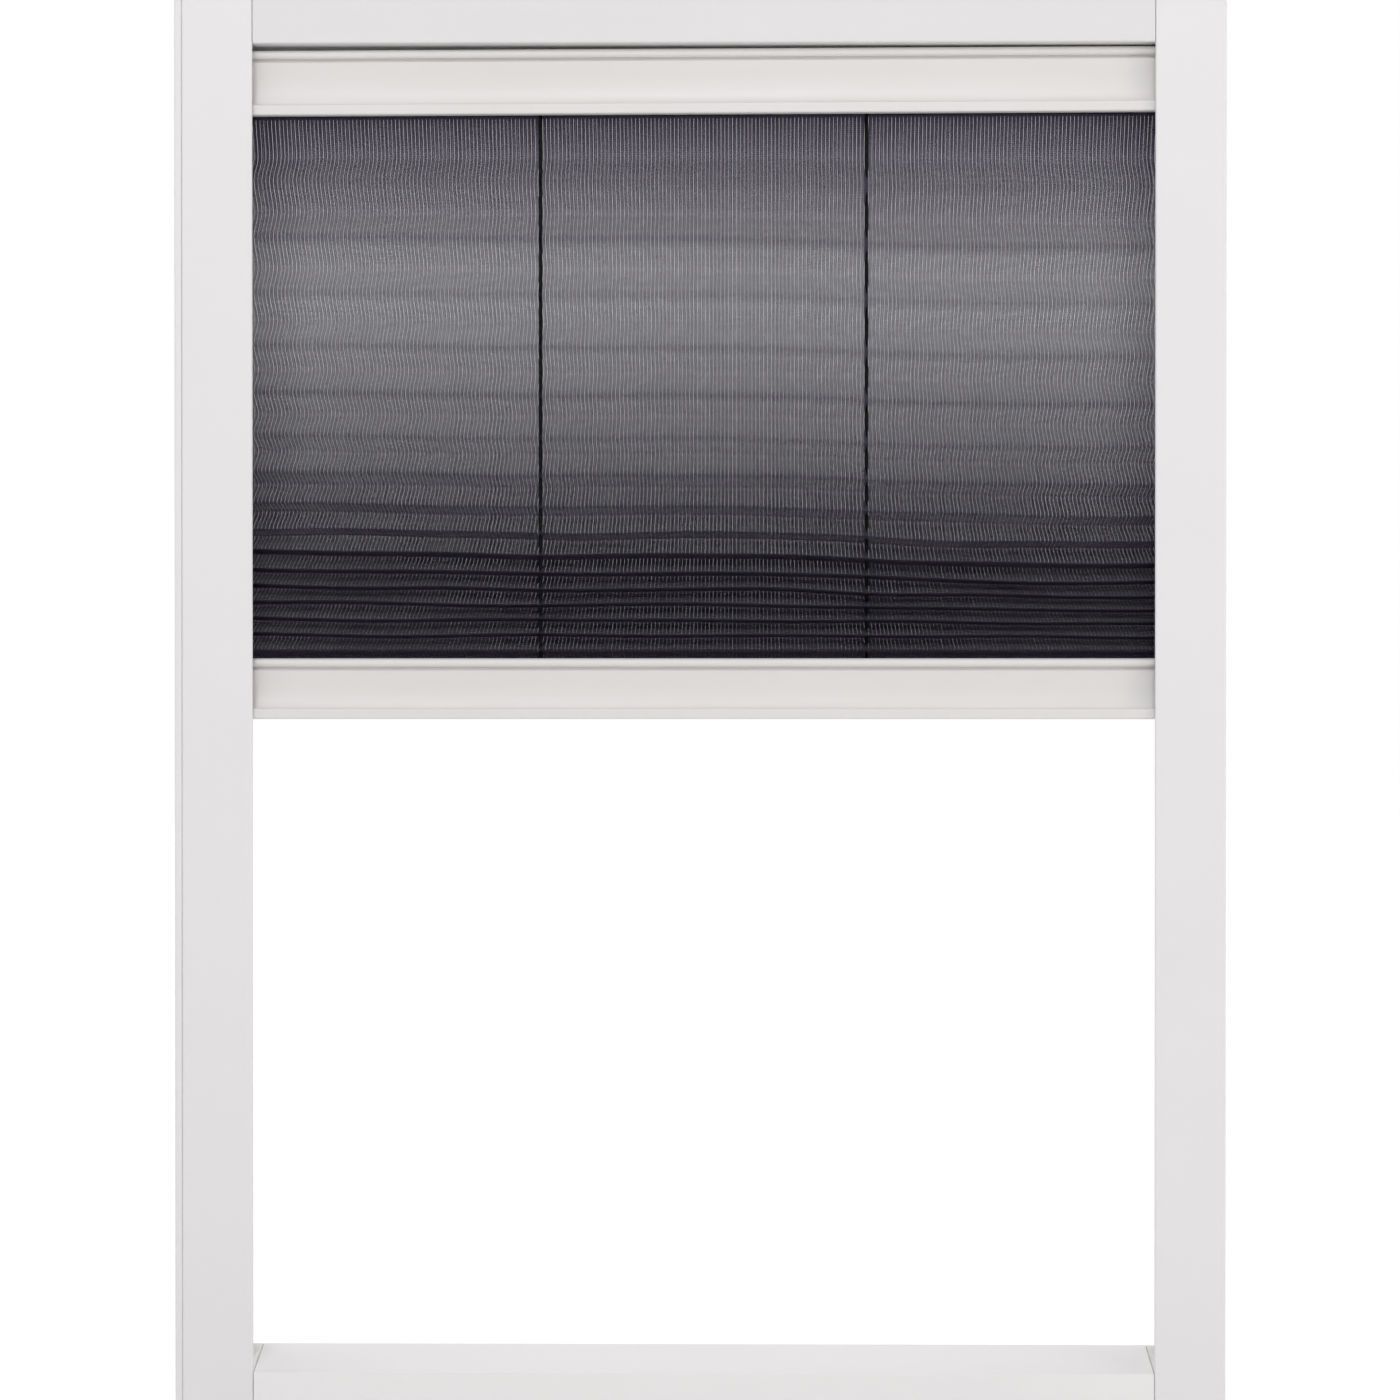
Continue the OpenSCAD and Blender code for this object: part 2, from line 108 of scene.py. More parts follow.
def add_node(tree: bpy.types.NodeTree, kind: str, inputs: dict | None = None,
             **settings: object) -> bpy.types.Node:
    """Add one shader node with its settings and links.

    Args:
        tree: Node tree that gets the node.
        kind: Blender's name for the kind of node.
        inputs: Values or output sockets, by the name or number of the input socket.
        settings: Attributes of the node.

    Returns:
        The new node.
    """
    node = tree.nodes.new(kind)
    for name, value in settings.items():
        setattr(node, name, value)
    for socket, value in (inputs or {}).items():
        if isinstance(value, bpy.types.NodeSocket):
            tree.links.new(value, node.inputs[socket])
        else:
            node.inputs[socket].default_value = value
    return node


def new_material(name: str) -> tuple[bpy.types.Material, bpy.types.NodeTree, bpy.types.NodeSocket]:
    """Make an empty node material.

    Args:
        name: Name of the material.

    Returns:
        The material, its node tree and the object coordinates, in metres.
    """
    material = bpy.data.materials.new(name)
    material.use_nodes = True
    material.node_tree.nodes.clear()
    coords = add_node(material.node_tree, "ShaderNodeTexCoord").outputs["Object"]
    return material, material.node_tree, coords


def show(tree: bpy.types.NodeTree, shader: bpy.types.Node) -> None:
    """Send a shader to the surface of its material."""
    add_node(tree, "ShaderNodeOutputMaterial", {"Surface": shader.outputs[0]})


def per_metre(size_mm: float) -> float:
    """Texture scale at which one feature has the given size."""
    return 1 / (size_mm * MM)


@dataclass(frozen=True)
class PowderCoat:
    """Satin polyester powder coat, sprayed and baked on extruded aluminium.

    It gives the eye an even off-white with a broad soft gloss, a faint orange peel, and die lines of the
    profile that show only as slow changes in gloss and tone.
    """

    name: str
    grain: Grain
    tone: str = "#E9E7E7"
    drift_tone: str = "#E5E3E4"
    ior: float = 1.5
    gloss_low: float = 0.36
    gloss_high: float = 0.48
    # Real orange peel is about 1 mm wide. It is drawn twice as coarse, so that it shows.
    peel_mm: float = 2.0
    peel_depth_mm: float = 0.012
    drift_mm: float = 70.0
    die_line_mm: float = 3.0

    def build(self) -> bpy.types.Material:
        """Make the material.

        Returns:
            The powder coat.
        """
        material, tree, coords = new_material(self.name)
        peel = add_node(tree, "ShaderNodeTexNoise", {
            "Vector": coords, "Scale": per_metre(self.peel_mm), "Detail": 2.0, "Roughness": 0.5})
        drift = add_node(tree, "ShaderNodeTexNoise", {
            "Vector": coords, "Scale": per_metre(self.drift_mm), "Detail": 1.0})
        drawn = add_node(tree, "ShaderNodeMapping", {"Vector": coords, "Scale": self.grain.value})
        lines = add_node(tree, "ShaderNodeTexNoise", {
            "Vector": drawn.outputs["Vector"], "Scale": per_metre(self.die_line_mm), "Detail": 2.0})
        colour = add_node(tree, "ShaderNodeMix", {
            "Factor": drift.outputs["Fac"],
            "A": hex_to_linear(self.tone), "B": hex_to_linear(self.drift_tone)}, data_type="RGBA")
        # Noise keeps mostly between 0.3 and 0.7.
        gloss = add_node(tree, "ShaderNodeMapRange", {
            "Value": lines.outputs["Fac"], "From Min": 0.3, "From Max": 0.7,
            "To Min": self.gloss_low, "To Max": self.gloss_high})
        bump = add_node(tree, "ShaderNodeBump", {
            "Height": peel.outputs["Fac"], "Strength": 0.6, "Distance": self.peel_depth_mm * MM})
        show(tree, add_node(tree, "ShaderNodeBsdfPrincipled", {
            "Base Color": colour.outputs["Result"], "Roughness": gloss.outputs["Result"],
            "Normal": bump.outputs["Normal"], "IOR": self.ior, "Metallic": 0.0}))
        return material


@dataclass(frozen=True)
class MouldedPlastic:
    """Acetal, injection moulded in a spark-eroded tool.

    It gives the eye a slightly warm white with a fine even pebble and a dull gloss.
    """

    name: str
    tone: str = "#ECEAE7"
    drift_tone: str = "#E6E4E1"
    ior: float = 1.48
    roughness: float = 0.5
    # A spark-eroded pebble is about 0.1 mm wide. It is drawn at 0.5 mm, so that it shows in close views.
    pebble_mm: float = 0.5
    pebble_depth_mm: float = 0.01
    drift_mm: float = 9.0

    def build(self) -> bpy.types.Material:
        """Make the material.

        Returns:
            The moulded plastic.
        """
        material, tree, coords = new_material(self.name)
        pebble = add_node(tree, "ShaderNodeTexVoronoi", {
            "Vector": coords, "Scale": per_metre(self.pebble_mm)}, feature="SMOOTH_F1")
        drift = add_node(tree, "ShaderNodeTexNoise", {
            "Vector": coords, "Scale": per_metre(self.drift_mm), "Detail": 2.0})
        colour = add_node(tree, "ShaderNodeMix", {
            "Factor": drift.outputs["Fac"],
            "A": hex_to_linear(self.tone), "B": hex_to_linear(self.drift_tone)}, data_type="RGBA")
        bump = add_node(tree, "ShaderNodeBump", {
            "Height": pebble.outputs["Distance"], "Strength": 0.5, "Distance": self.pebble_depth_mm * MM})
        show(tree, add_node(tree, "ShaderNodeBsdfPrincipled", {
            "Base Color": colour.outputs["Result"], "Roughness": self.roughness, "IOR": self.ior,
            "Normal": bump.outputs["Normal"], "Metallic": 0.0}))
        return material


@dataclass(frozen=True)
class CoatedYarn:
    """Polyester yarn with a charcoal coating, woven and heat-set in pleats.

    It gives the eye a dark grey with a slight violet cast, dull, with slubs that catch a little light.
    """

    name: str = "charcoal_coated_yarn_woven"
    tone: str = "#302E37"
    slub_tone: str = "#413E4A"
    # Thin yarn lets through a little of the light from behind, with the cast of its coating.
    lit_through_tone: str = "#85749F"
    lit_through: float = 0.1
    ior: float = 1.5
    roughness: float = 0.62
    # The coating is dull, so it mirrors less than smooth plastic.
    mirror_level: float = 0.3
    # Slubs in the coating are about 0.3 mm long. They are drawn at 2 mm, so that they show.
    slub_mm: float = 2.0

    def build(self) -> bpy.types.Material:
        """Make the material.

        Returns:
            The yarn.
        """
        material, tree, coords = new_material(self.name)
        slubs = add_node(tree, "ShaderNodeTexNoise", {
            "Vector": coords, "Scale": per_metre(self.slub_mm), "Detail": 2.0})
        colour = add_node(tree, "ShaderNodeMix", {
            "Factor": slubs.outputs["Fac"],
            "A": hex_to_linear(self.tone), "B": hex_to_linear(self.slub_tone)}, data_type="RGBA")
        coating = add_node(tree, "ShaderNodeBsdfPrincipled", {
            "Base Color": colour.outputs["Result"], "Roughness": self.roughness, "IOR": self.ior,
            "Specular IOR Level": self.mirror_level, "Metallic": 0.0})
        behind = add_node(tree, "ShaderNodeBsdfTranslucent", {
            "Color": hex_to_linear(self.lit_through_tone)})
        show(tree, add_node(tree, "ShaderNodeMixShader", {
            0: self.lit_through, 1: coating.outputs[0], 2: behind.outputs[0]}))
        return material


@dataclass(frozen=True)
class BraidedCord:
    """Polyester cord, braided from black filaments.

    It gives the eye a near-black line with slanting strands that hardly shine.
    """

    name: str = "black_polyester_cord_braided"
    tone: str = "#09090A"
    strand_tone: str = "#161518"
    ior: float = 1.52
    roughness: float = 0.7
    # Light is lost between the filaments, so a braid mirrors far less than one smooth strand.
    mirror_level: float = 0.1
    # A strand of a 1.2 mm braid is about 0.3 mm wide. It is drawn at 0.8 mm, so that it shows.
    strand_mm: float = 0.8
    strand_depth_mm: float = 0.08

    def build(self) -> bpy.types.Material:
        """Make the material.

        Returns:
            The cord.
        """
        material, tree, coords = new_material(self.name)
        strands = add_node(tree, "ShaderNodeTexWave", {
            "Vector": coords, "Scale": per_metre(self.strand_mm) / math.tau,
            "Distortion": 1.5, "Detail": 1.0}, wave_type="BANDS", bands_direction="DIAGONAL")
        colour = add_node(tree, "ShaderNodeMix", {
            "Factor": strands.outputs["Fac"],
            "A": hex_to_linear(self.tone), "B": hex_to_linear(self.strand_tone)}, data_type="RGBA")
        bump = add_node(tree, "ShaderNodeBump", {
            "Height": strands.outputs["Fac"], "Strength": 0.7, "Distance": self.strand_depth_mm * MM})
        show(tree, add_node(tree, "ShaderNodeBsdfPrincipled", {
            "Base Color": colour.outputs["Result"], "Roughness": self.roughness, "IOR": self.ior,
            "Specular IOR Level": self.mirror_level, "Normal": bump.outputs["Normal"], "Metallic": 0.0}))
        return material


@dataclass(frozen=True)
class PileFibre:
    """Polypropylene pile, woven into a backing strip and brushed upright.

    It gives the eye a soft mid grey that changes from tuft to tuft.
    """

    name: str = "grey_polypropylene_pile_brushed"
    tone: str = "#7E7E81"
    tuft_tone: str = "#9A9A9D"
    ior: float = 1.49
    roughness: float = 0.85
    tuft_mm: float = 1.5

    def build(self) -> bpy.types.Material:
        """Make the material.

        Returns:
            The pile.
        """
        material, tree, coords = new_material(self.name)
        tufts = add_node(tree, "ShaderNodeTexNoise", {
            "Vector": coords, "Scale": per_metre(self.tuft_mm), "Detail": 1.0})
        colour = add_node(tree, "ShaderNodeMix", {
            "Factor": tufts.outputs["Fac"],
            "A": hex_to_linear(self.tone), "B": hex_to_linear(self.tuft_tone)}, data_type="RGBA")
        show(tree, add_node(tree, "ShaderNodeBsdfPrincipled", {
            "Base Color": colour.outputs["Result"], "Roughness": self.roughness, "IOR": self.ior,
            "Metallic": 0.0}))
        return material


@dataclass(frozen=True)
class ZincSteel:
    """Steel, cold headed, thread rolled and zinc plated.

    It gives the eye a cool bright metal with cloudy patches of passivation.
    """

    name: str = "zinc_plated_steel_rolled"
    tone: str = "#C4C6C8"
    cloud_tone: str = "#B2B4B2"
    gloss_low: float = 0.26
    gloss_high: float = 0.42
    cloud_mm: float = 1.2

    def build(self) -> bpy.types.Material:
        """Make the material.

        Returns:
            The plated steel.
        """
        material, tree, coords = new_material(self.name)
        clouds = add_node(tree, "ShaderNodeTexNoise", {
            "Vector": coords, "Scale": per_metre(self.cloud_mm), "Detail": 3.0})
        colour = add_node(tree, "ShaderNodeMix", {
            "Factor": clouds.outputs["Fac"],
            "A": hex_to_linear(self.tone), "B": hex_to_linear(self.cloud_tone)}, data_type="RGBA")
        gloss = add_node(tree, "ShaderNodeMapRange", {
            "Value": clouds.outputs["Fac"], "To Min": self.gloss_low, "To Max": self.gloss_high})
        show(tree, add_node(tree, "ShaderNodeBsdfPrincipled", {
            "Base Color": colour.outputs["Result"], "Roughness": gloss.outputs["Result"], "Metallic": 1.0}))
        return material


def seen_as_background(tree: bpy.types.NodeTree) -> bpy.types.NodeSocket:
    """Tell the rays that show the background from those that light the object.

    Args:
        tree: Node tree of a material or of the world.

    Returns:
        A socket that is 1 for camera, glossy and transmission rays, and 0 for others.
    """
    path = add_node(tree, "ShaderNodeLightPath").outputs
    seen = path["Is Camera Ray"]
    for kind in ("Is Glossy Ray", "Is Transmission Ray"):
        seen = add_node(tree, "ShaderNodeMath", {0: seen, 1: path[kind]}, operation="MAXIMUM").outputs[0]
    return seen


@dataclass(frozen=True)
class StudioWhite:
    """Matt white studio paper that the camera sees as white, with a trace of the object's shadow."""

    name: str = "white_studio_paper"
    tone: str = "#F6F6F6"
    white_share: float = 0.85
    # A little over white, because the paper's own share of the tone is below it.
    white_strength: float = 1.09

    def build(self) -> bpy.types.Material:
        """Make the material.

        Returns:
            The paper.
        """
        material, tree, _ = new_material(self.name)
        share = add_node(tree, "ShaderNodeMath", {0: seen_as_background(tree), 1: self.white_share},
                         operation="MULTIPLY")
        paper = add_node(tree, "ShaderNodeBsdfDiffuse", {"Color": hex_to_linear(self.tone)})
        white = add_node(tree, "ShaderNodeEmission", {"Strength": self.white_strength})
        show(tree, add_node(tree, "ShaderNodeMixShader", {
            0: share.outputs[0], 1: paper.outputs[0], 2: white.outputs[0]}))
        return material


def add_object(name: str, data: bpy.types.ID) -> bpy.types.Object:
    """Put a new object into the scene.

    Args:
        name: Name of the object.
        data: Its mesh, lamp or camera.

    Returns:
        The object.
    """
    added = bpy.data.objects.new(name, data)
    bpy.context.scene.collection.objects.link(added)
    return added


def make_object(name: str, vertices: np.ndarray, faces: list[list[int]], material: bpy.types.Material,
                smooth: bool = True) -> bpy.types.Object:
    """Make a mesh object.

    Args:
        name: Name of the piece.
        vertices: Points in millimetres, one row each.
        faces: Lists of vertex numbers.
        material: Finish of the piece.
        smooth: Whether its faces shade as one rounded surface.

    Returns:
        The new object, in metres.
    """
    mesh = bpy.data.meshes.new(name)
    mesh.from_pydata((np.asarray(vertices, float) * MM).tolist(), [], faces)
    mesh.polygons.foreach_set("use_smooth", [smooth] * len(mesh.polygons))
    mesh.materials.append(material)
    mesh.update()
    return add_object(name, mesh)


def sweep_tubes(lines: np.ndarray, radii: np.ndarray, across: Point, sides: int) -> Shape:
    """Sweep closed tubes along lines.

    Args:
        lines: Points of each line, as an array of lines by points by 3.
        radii: Radius at each of those points.
        across: A direction that no line runs along, which sets how the tubes are turned.
        sides: Number of sides of a tube.

    Returns:
        The vertices and the faces of all the tubes.
    """
    count, points = lines.shape[:2]
    tangent = np.gradient(lines, axis=1)
    tangent /= np.linalg.norm(tangent, axis=2, keepdims=True)
    side = np.cross(tangent, np.asarray(across, float))
    side /= np.linalg.norm(side, axis=2, keepdims=True)
    other = np.cross(side, tangent)
    angles = np.arange(sides) * math.tau / sides
    ring = side[:, :, None] * np.cos(angles)[:, None] + other[:, :, None] * np.sin(angles)[:, None]
    vertices = (lines[:, :, None] + ring * radii[:, :, None, None]).reshape(-1, 3)
    index = np.arange(count * points * sides).reshape(count, points, sides)
    turned = np.roll(index, -1, axis=2)
    quads = np.stack([index[:, :-1], index[:, 1:], turned[:, 1:], turned[:, :-1]], axis=-1)
    faces = quads.reshape(-1, 4).tolist()
    faces += index[:, 0].tolist()
    faces += index[:, -1, ::-1].tolist()
    return vertices, faces


def sweep_ribbons(lines: np.ndarray, radii: np.ndarray, kept: np.ndarray) -> Shape:
    """Sweep flat ribbons along lines that run down, with their width along X and their front facing -Y.

    Args:
        lines: Points of each line, as an array of lines by points by 3.
        radii: Half the width at each of those points.
        kept: Whether the ribbon is there at each of those points.

    Returns:
        The vertices and the faces of all the ribbons.
    """
    offset = radii[..., None] * np.array([1.0, 0.0, 0.0])
    vertices = np.stack([lines - offset, lines + offset], axis=2)
    index = np.arange(vertices.size // 3).reshape(vertices.shape[:3])
    quads = np.stack([index[:, :-1, 0], index[:, 1:, 0], index[:, 1:, 1], index[:, :-1, 1]], axis=-1)
    used, numbers = np.unique(quads[kept[:, :-1] & kept[:, 1:]], return_inverse=True)
    return vertices.reshape(-1, 3)[used], numbers.reshape(-1, 4).tolist()


def join_parts(parts: list[Shape]) -> Shape:
    """Put several sets of vertices and faces into one.

    Args:
        parts: Pairs of vertices and faces.

    Returns:
        All the vertices and all the faces.
    """
    vertices, faces, start = [], [], 0
    for points, polygons in parts:
        vertices.append(points)
        faces.extend([[start + i for i in polygon] for polygon in polygons])
        start += len(points)
    return np.concatenate(vertices), faces


def smoothstep(value: np.ndarray | float) -> np.ndarray | float:
    """Ease a share from 0 to 1."""
    share = np.clip(value, 0, 1)
    return share * share * (3 - 2 * share)


def node_box(node: str) -> tuple[np.ndarray, np.ndarray]:
    """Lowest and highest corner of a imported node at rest, in millimetres."""
    low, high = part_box(node)
    return np.array(low) / MM, np.array(high) / MM


def upper_bar_place() -> tuple[float, float]:
    """Find how the upper bar hangs, from the clamp strips, which are alike in both bars.

    Returns:
        Height of its underside in the middle, and half the drop between its ends, in millimetres.
    """
    upper_low, upper_high = node_box("upper_mesh_strip")
    lower_low, lower_high = node_box("lower_mesh_strip")
    _, bar_high = node_box("lower_bar")
    cover = bar_high[2] - (lower_low[2] + lower_high[2]) / 2
    half_drop = (upper_high[2] - upper_low[2] - lower_high[2] + lower_low[2]) / 2
    return float((upper_low[2] + upper_high[2]) / 2 - cover), float(half_drop)


def dress_node(node: bpy.types.Object, material: bpy.types.Material) -> None:
    """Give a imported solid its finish.

    Args:
        node: The solid's object.
        material: Its finish.
    """
    node.data.materials.clear()
    node.data.materials.append(material)
    log.info("dressed %s with %s", node.name, material.name)


@dataclass
class CoatedFrame:
    """The fixed frame: jambs, rails, corner connectors, cord anchors and the slim edge strip."""

    nodes: dict[str, bpy.types.Object]
    upright_coat: bpy.types.Material
    head_coat_painted_shade: bpy.types.Material
    sill_coat_painted_light: bpy.types.Material
    plastic: bpy.types.Material

    def dress(self) -> None:
        """Give the frame's solids their finishes."""
        for name in ("left_jamb", "right_jamb", "left_edge_strip"):
            dress_node(self.nodes[name], self.upright_coat)
        # The head's darker coat is painted shade.
        dress_node(self.nodes["top_rail"], self.head_coat_painted_shade)
        # The sill's lighter coat is painted light.
        dress_node(self.nodes["bottom_rail"], self.sill_coat_painted_light)
        for name in ("top_left_corner", "top_right_corner", "bottom_left_corner", "bottom_right_corner",
                     "top_cord_anchors", "bottom_cord_anchors"):
            dress_node(self.nodes[name], self.plastic)


@dataclass
class SlidingBar:
    """One sliding bar with its clamp strip, end glides and eyelets."""

    prefix: str
    nodes: dict[str, bpy.types.Object]
    coat: bpy.types.Material
    plastic: bpy.types.Material

    def dress(self) -> None:
        """Give the bar's solids their finishes."""
        dress_node(self.nodes[f"{self.prefix}_bar"], self.coat)
        for part in ("mesh_strip", "left_glide", "right_glide", "eyelets"):
            dress_node(self.nodes[f"{self.prefix}_{part}"], self.plastic)


@dataclass
class PleatedCloth:
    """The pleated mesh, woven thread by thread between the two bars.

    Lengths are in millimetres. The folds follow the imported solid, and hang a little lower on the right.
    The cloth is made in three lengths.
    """

    yarn: bpy.types.Material
    fold_count: int = 17
    face_width: float = 16.4
    pitch_spread: float = 16.8
    stacked_share: float = 0.72
    first_drop: float = 5.0
    # The bar pulls the first fold up behind its lip.
    pulled_drop: float = 1.1
    last_rise: float = 3.5
    slot_y: float = 6.2
    middle_y: float = 0.1
    tab_in: float = 2.4
    tab_gap: float = 0.95
    # The cloth shows a line every 1.49 mm. Each line is drawn as a group of four flat threads of about
    # 0.3 mm, so that the cloth is as dark against white as it looks.
    line_pitch: float = 1.49
    group: int = 4
    group_shrink: float = 0.017
    warp_jitter: float = 0.008
    face_wefts: int = 22
    weft_radius: float = 0.06
    most_weft_cover: float = 0.9
    thread_sides: int = 3
    warp_samples: int = 4
    span_samples: int = 9
    level_samples: int = 41
    roundness: float = 0.75
    # Share of white that shows through, by the share of the way from the upper bar to the lower bar. Next to
    # the upper bar the shares are low, partly as painted shade under the bar.
    open_shares: tuple[tuple[float, float], ...] = (
        (0.0, 0.02), (0.03, 0.045), (0.07, 0.065), (0.1, 0.088), (0.2, 0.142), (0.29, 0.195), (0.42, 0.178),
        (0.5, 0.152), (0.6, 0.115), (0.66, 0.083), (0.72, 0.054), (0.78, 0.036), (0.83, 0.006), (0.86, 0.0))
    pleat_change: float = 0.04
    # The threads crowd at a front crease, which looks darker, and shade falls into it: the threads there are
    # widened, partly as painted shade.
    crease_losses: tuple[float, float] = (0.24, 0.4)
    crease_reach: float = 0.3
    edge_loss: float = 0.36
    edge_reach: float = 32.0
    # Each cord runs this far from the middle of the cloth.
    cord_spread: float = 62.5
    # The cord's holes are drawn as slits in the front of the folds, narrower than the cord, so that it shows.
    slit_half: float = 0.45
    slit_depth: float = 3.5
    fold_slope: float = 6.0
    wave_height: float = 0.55
    wave_count: int = 5
    wave_lengths: tuple[float, float] = (90.0, 320.0)
    wave_drift: float = 3.0
    # The bars hold the cloth straight: its slope and waves ease in over these shares of the way between them.
    head_ease: float = 0.2
    foot_ease: float = 0.18
    # Each stacked fold also wavers a little by itself, apart from the one at the bar.
    ripple_height: float = 0.6
    ripple_lengths: tuple[float, float] = (55.0, 160.0)
    ripple_count: int = 3
    # In the stack the back folds stand nearer to the front folds above them.
    droop: float = 0.3
    droop_power: float = 1.5
    # Knots at which the cloth is divided into its three lengths.
    head_split: int = 9
    stack_split: int = 23
    seed: int = 7

    def __post_init__(self) -> None:
        """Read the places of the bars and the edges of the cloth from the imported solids."""
        _, lower_high = node_box("lower_bar")
        mesh_low, mesh_high = node_box("pleated_mesh")
        self.left, self.right = mesh_low[0], mesh_high[0]
        self.mid_x = (self.left + self.right) / 2
        self.half_width = (self.right - self.left) / 2
        self.foot = lower_high[2]
        self.head, self.head_tilt = upper_bar_place()
        draws = np.random.default_rng(self.seed)
        lengths = draws.uniform(*self.wave_lengths, self.wave_count)
        phases = draws.uniform(0, math.tau, self.wave_count)
        drifts = draws.uniform(-self.wave_drift, self.wave_drift, self.wave_count)
        self.waves = list(zip(lengths, phases, drifts))
        # The tabs count as pleats too.
        pleats = self.fold_count + 3
        self.pleat_tones = 1 + draws.uniform(-self.pleat_change, self.pleat_change, pleats)
        self.creases = draws.uniform(*self.crease_losses, pleats)
        self.warp_x = self.place_warps(draws)
        ripples = (self.fold_count, self.ripple_count, 1)
        self.ripple_turns = math.tau / draws.uniform(*self.ripple_lengths, ripples)
        self.ripple_phases = draws.uniform(0, math.tau, ripples)
        self.cords = []
        for side, turn in ((Side.LEFT, -1), (Side.RIGHT, 1)):
            cord_low, cord_high = node_box(f"{side.value}_cord")
            self.cords.append((self.mid_x + turn * self.cord_spread, (cord_low[1] + cord_high[1]) / 2))

    def place_warps(self, draws: np.random.Generator) -> np.ndarray:
        """Places of the threads along the cloth, in groups.

        Args:
            draws: Source of their small irregularity.

        Returns:
            Places across the width.
        """
        first, limit = self.left + self.line_pitch / 2, self.right - self.line_pitch / 3
        lines = np.arange(first, limit, self.line_pitch)
        step = self.line_pitch / self.group - self.group_shrink
        x = (lines[:, None] + step * (np.arange(self.group) - (self.group - 1) / 2)).ravel()
        return x + draws.uniform(-self.warp_jitter, self.warp_jitter, len(x))

    def outside_slits(self, points: np.ndarray) -> np.ndarray:
        """Tell which points of the cloth are clear of the cord slits, which lie just in front of the cords.

        Args:
            points: Points of the cloth.

        Returns:
            Whether each point is clear.
        """
        clear = np.ones(points.shape[:-1], bool)
        for cord_x, cord_y in self.cords:
            in_front = cord_y - points[..., 1]
            clear &= ((np.abs(points[..., 0] - cord_x) > self.slit_half)
                      | (in_front < 0) | (in_front > self.slit_depth))
        return clear

    def pitches(self) -> tuple[np.ndarray, np.ndarray]:
        """Pitch of each pleat, stretched under the upper bar and stacked on the lower bar.

        Returns:
            The pitches in millimetres, and how far each pleat is stretched, from 0 to 1.
        """
        count = self.fold_count - 1
        stacked_from = round(self.stacked_share * self.fold_count)
        stretch = (1 + np.cos(math.pi * np.minimum(np.arange(count) / stacked_from, 1))) / 2
        mean = (self.head - self.first_drop - self.foot - self.last_rise) / count
        return mean + self.pitch_spread * (stretch - stretch.mean()), stretch

    def level(self, height: np.ndarray | float, x: np.ndarray) -> np.ndarray:
        """Height of a fold across the width, with the tilt of the upper bar, its slope and its waves.

        Args:
            height: Height of the fold on a level screen.
            x: Places across the width.

        Returns:
            Its height at each place.
        """
        share = (self.head - height) / (self.head - self.foot)
        across = (x - self.mid_x) / self.half_width
        hang = smoothstep(share / self.head_ease) * smoothstep((1 - share) / self.foot_ease)
        waves = sum(np.sin(math.tau * x / length + phase + drift * share)
                    for length, phase, drift in self.waves)
        tilt = (1 - share) * self.head_tilt * across
        return height + tilt - hang * (self.fold_slope / 2 * across + self.wave_height * waves / 2)

    def ripple(self, knot: int, x: np.ndarray) -> np.ndarray:
        """How far a stacked fold wavers by itself. A front fold and the back fold under it waver together.

        Args:
            knot: Number of the fold's knot.
            x: Places across the width.

        Returns:
            Its rise at each place.
        """
        pleat = (knot - FIRST_FOLD) // 2
        if not 0 < pleat < self.fold_count - 1:
            return np.zeros(len(x))
        _, stretch = self.pitches()
        waver = np.sin(self.ripple_turns[pleat] * x + self.ripple_phases[pleat]).mean(axis=0)
        return self.ripple_height * (1 - stretch[pleat]) * waver

    def knots(self, x: np.ndarray) -> tuple[np.ndarray, np.ndarray]:
        """Folds and tabs of the cloth from head to foot.

        Args:
            x: Places across the width.

        Returns:
            Depths and heights, one row for each knot and one column for each place.
        """
        pitch, stretch = self.pitches()
        fronts = self.head - self.first_drop - np.concatenate([[0], np.cumsum(pitch)])
        depth = np.sqrt(self.face_width ** 2 - (pitch / 2) ** 2)
        depths = [self.slot_y, self.slot_y]
        heights = [self.head + self.tab_in, self.head - self.tab_gap]
        for i, drop in enumerate(pitch):
            back_share = 0.5 - self.droop * (1 - stretch[i]) ** self.droop_power
            depths += [self.middle_y - depth[i] / 2, self.middle_y + depth[i] / 2]
            heights += [fronts[i], fronts[i] - back_share * drop]
        heights[FIRST_FOLD] = self.head - self.pulled_drop
        face_drop = heights[FIRST_FOLD] - heights[FIRST_FOLD + 1]
        depths[FIRST_FOLD] = depths[FIRST_FOLD + 1] - math.sqrt(self.face_width ** 2 - face_drop ** 2)
        depths += [self.middle_y - depth[-1] / 2, self.slot_y, self.slot_y]
        heights += [fronts[-1], self.foot + self.tab_gap, self.foot - self.tab_in]
        rows = np.stack([self.level(height, x) + self.ripple(knot, x)
                         for knot, height in enumerate(heights)])
        return np.repeat(np.array(depths)[:, None], len(x), axis=1), rows

    def surface(self, x: np.ndarray, steps: np.ndarray) -> np.ndarray:
        """Points of the cloth.

        Args:
            x: Places across the width.
            steps: Places along the cloth, counted in knots.

        Returns:
            An array of places across by places along by 3.
        """
        depths, heights = self.knots(x)
        upper = np.minimum(steps.astype(int), len(depths) - 2)
        share = (steps - upper)[:, None]
        eased = (1 - self.roundness) * share + self.roundness * (1 - np.cos(math.pi * share)) / 2
        y = depths[upper] + (depths[upper + 1] - depths[upper]) * eased
        z = heights[upper] + (heights[upper + 1] - heights[upper]) * share
        return np.stack([np.repeat(x[:, None], len(steps), axis=1), y.T, z.T], axis=2)

    def warp_radii(self, points: np.ndarray, steps: np.ndarray) -> np.ndarray:
        """Half-widths of the threads along the cloth, at which the right share of white shows.

        Args:
            points: Points of the threads.
            steps: Places along the cloth, counted in knots.

        Returns:
            A radius for each point.
        """
        share = (self.head - points[..., 2]) / (self.head - self.foot)
        places, opens = np.array(self.open_shares).T
        edge = (self.half_width - np.abs(points[..., 0] - self.mid_x)) / self.edge_reach
        wanted = np.interp(share, places, opens) * (1 - self.edge_loss * (1 - smoothstep(edge)))
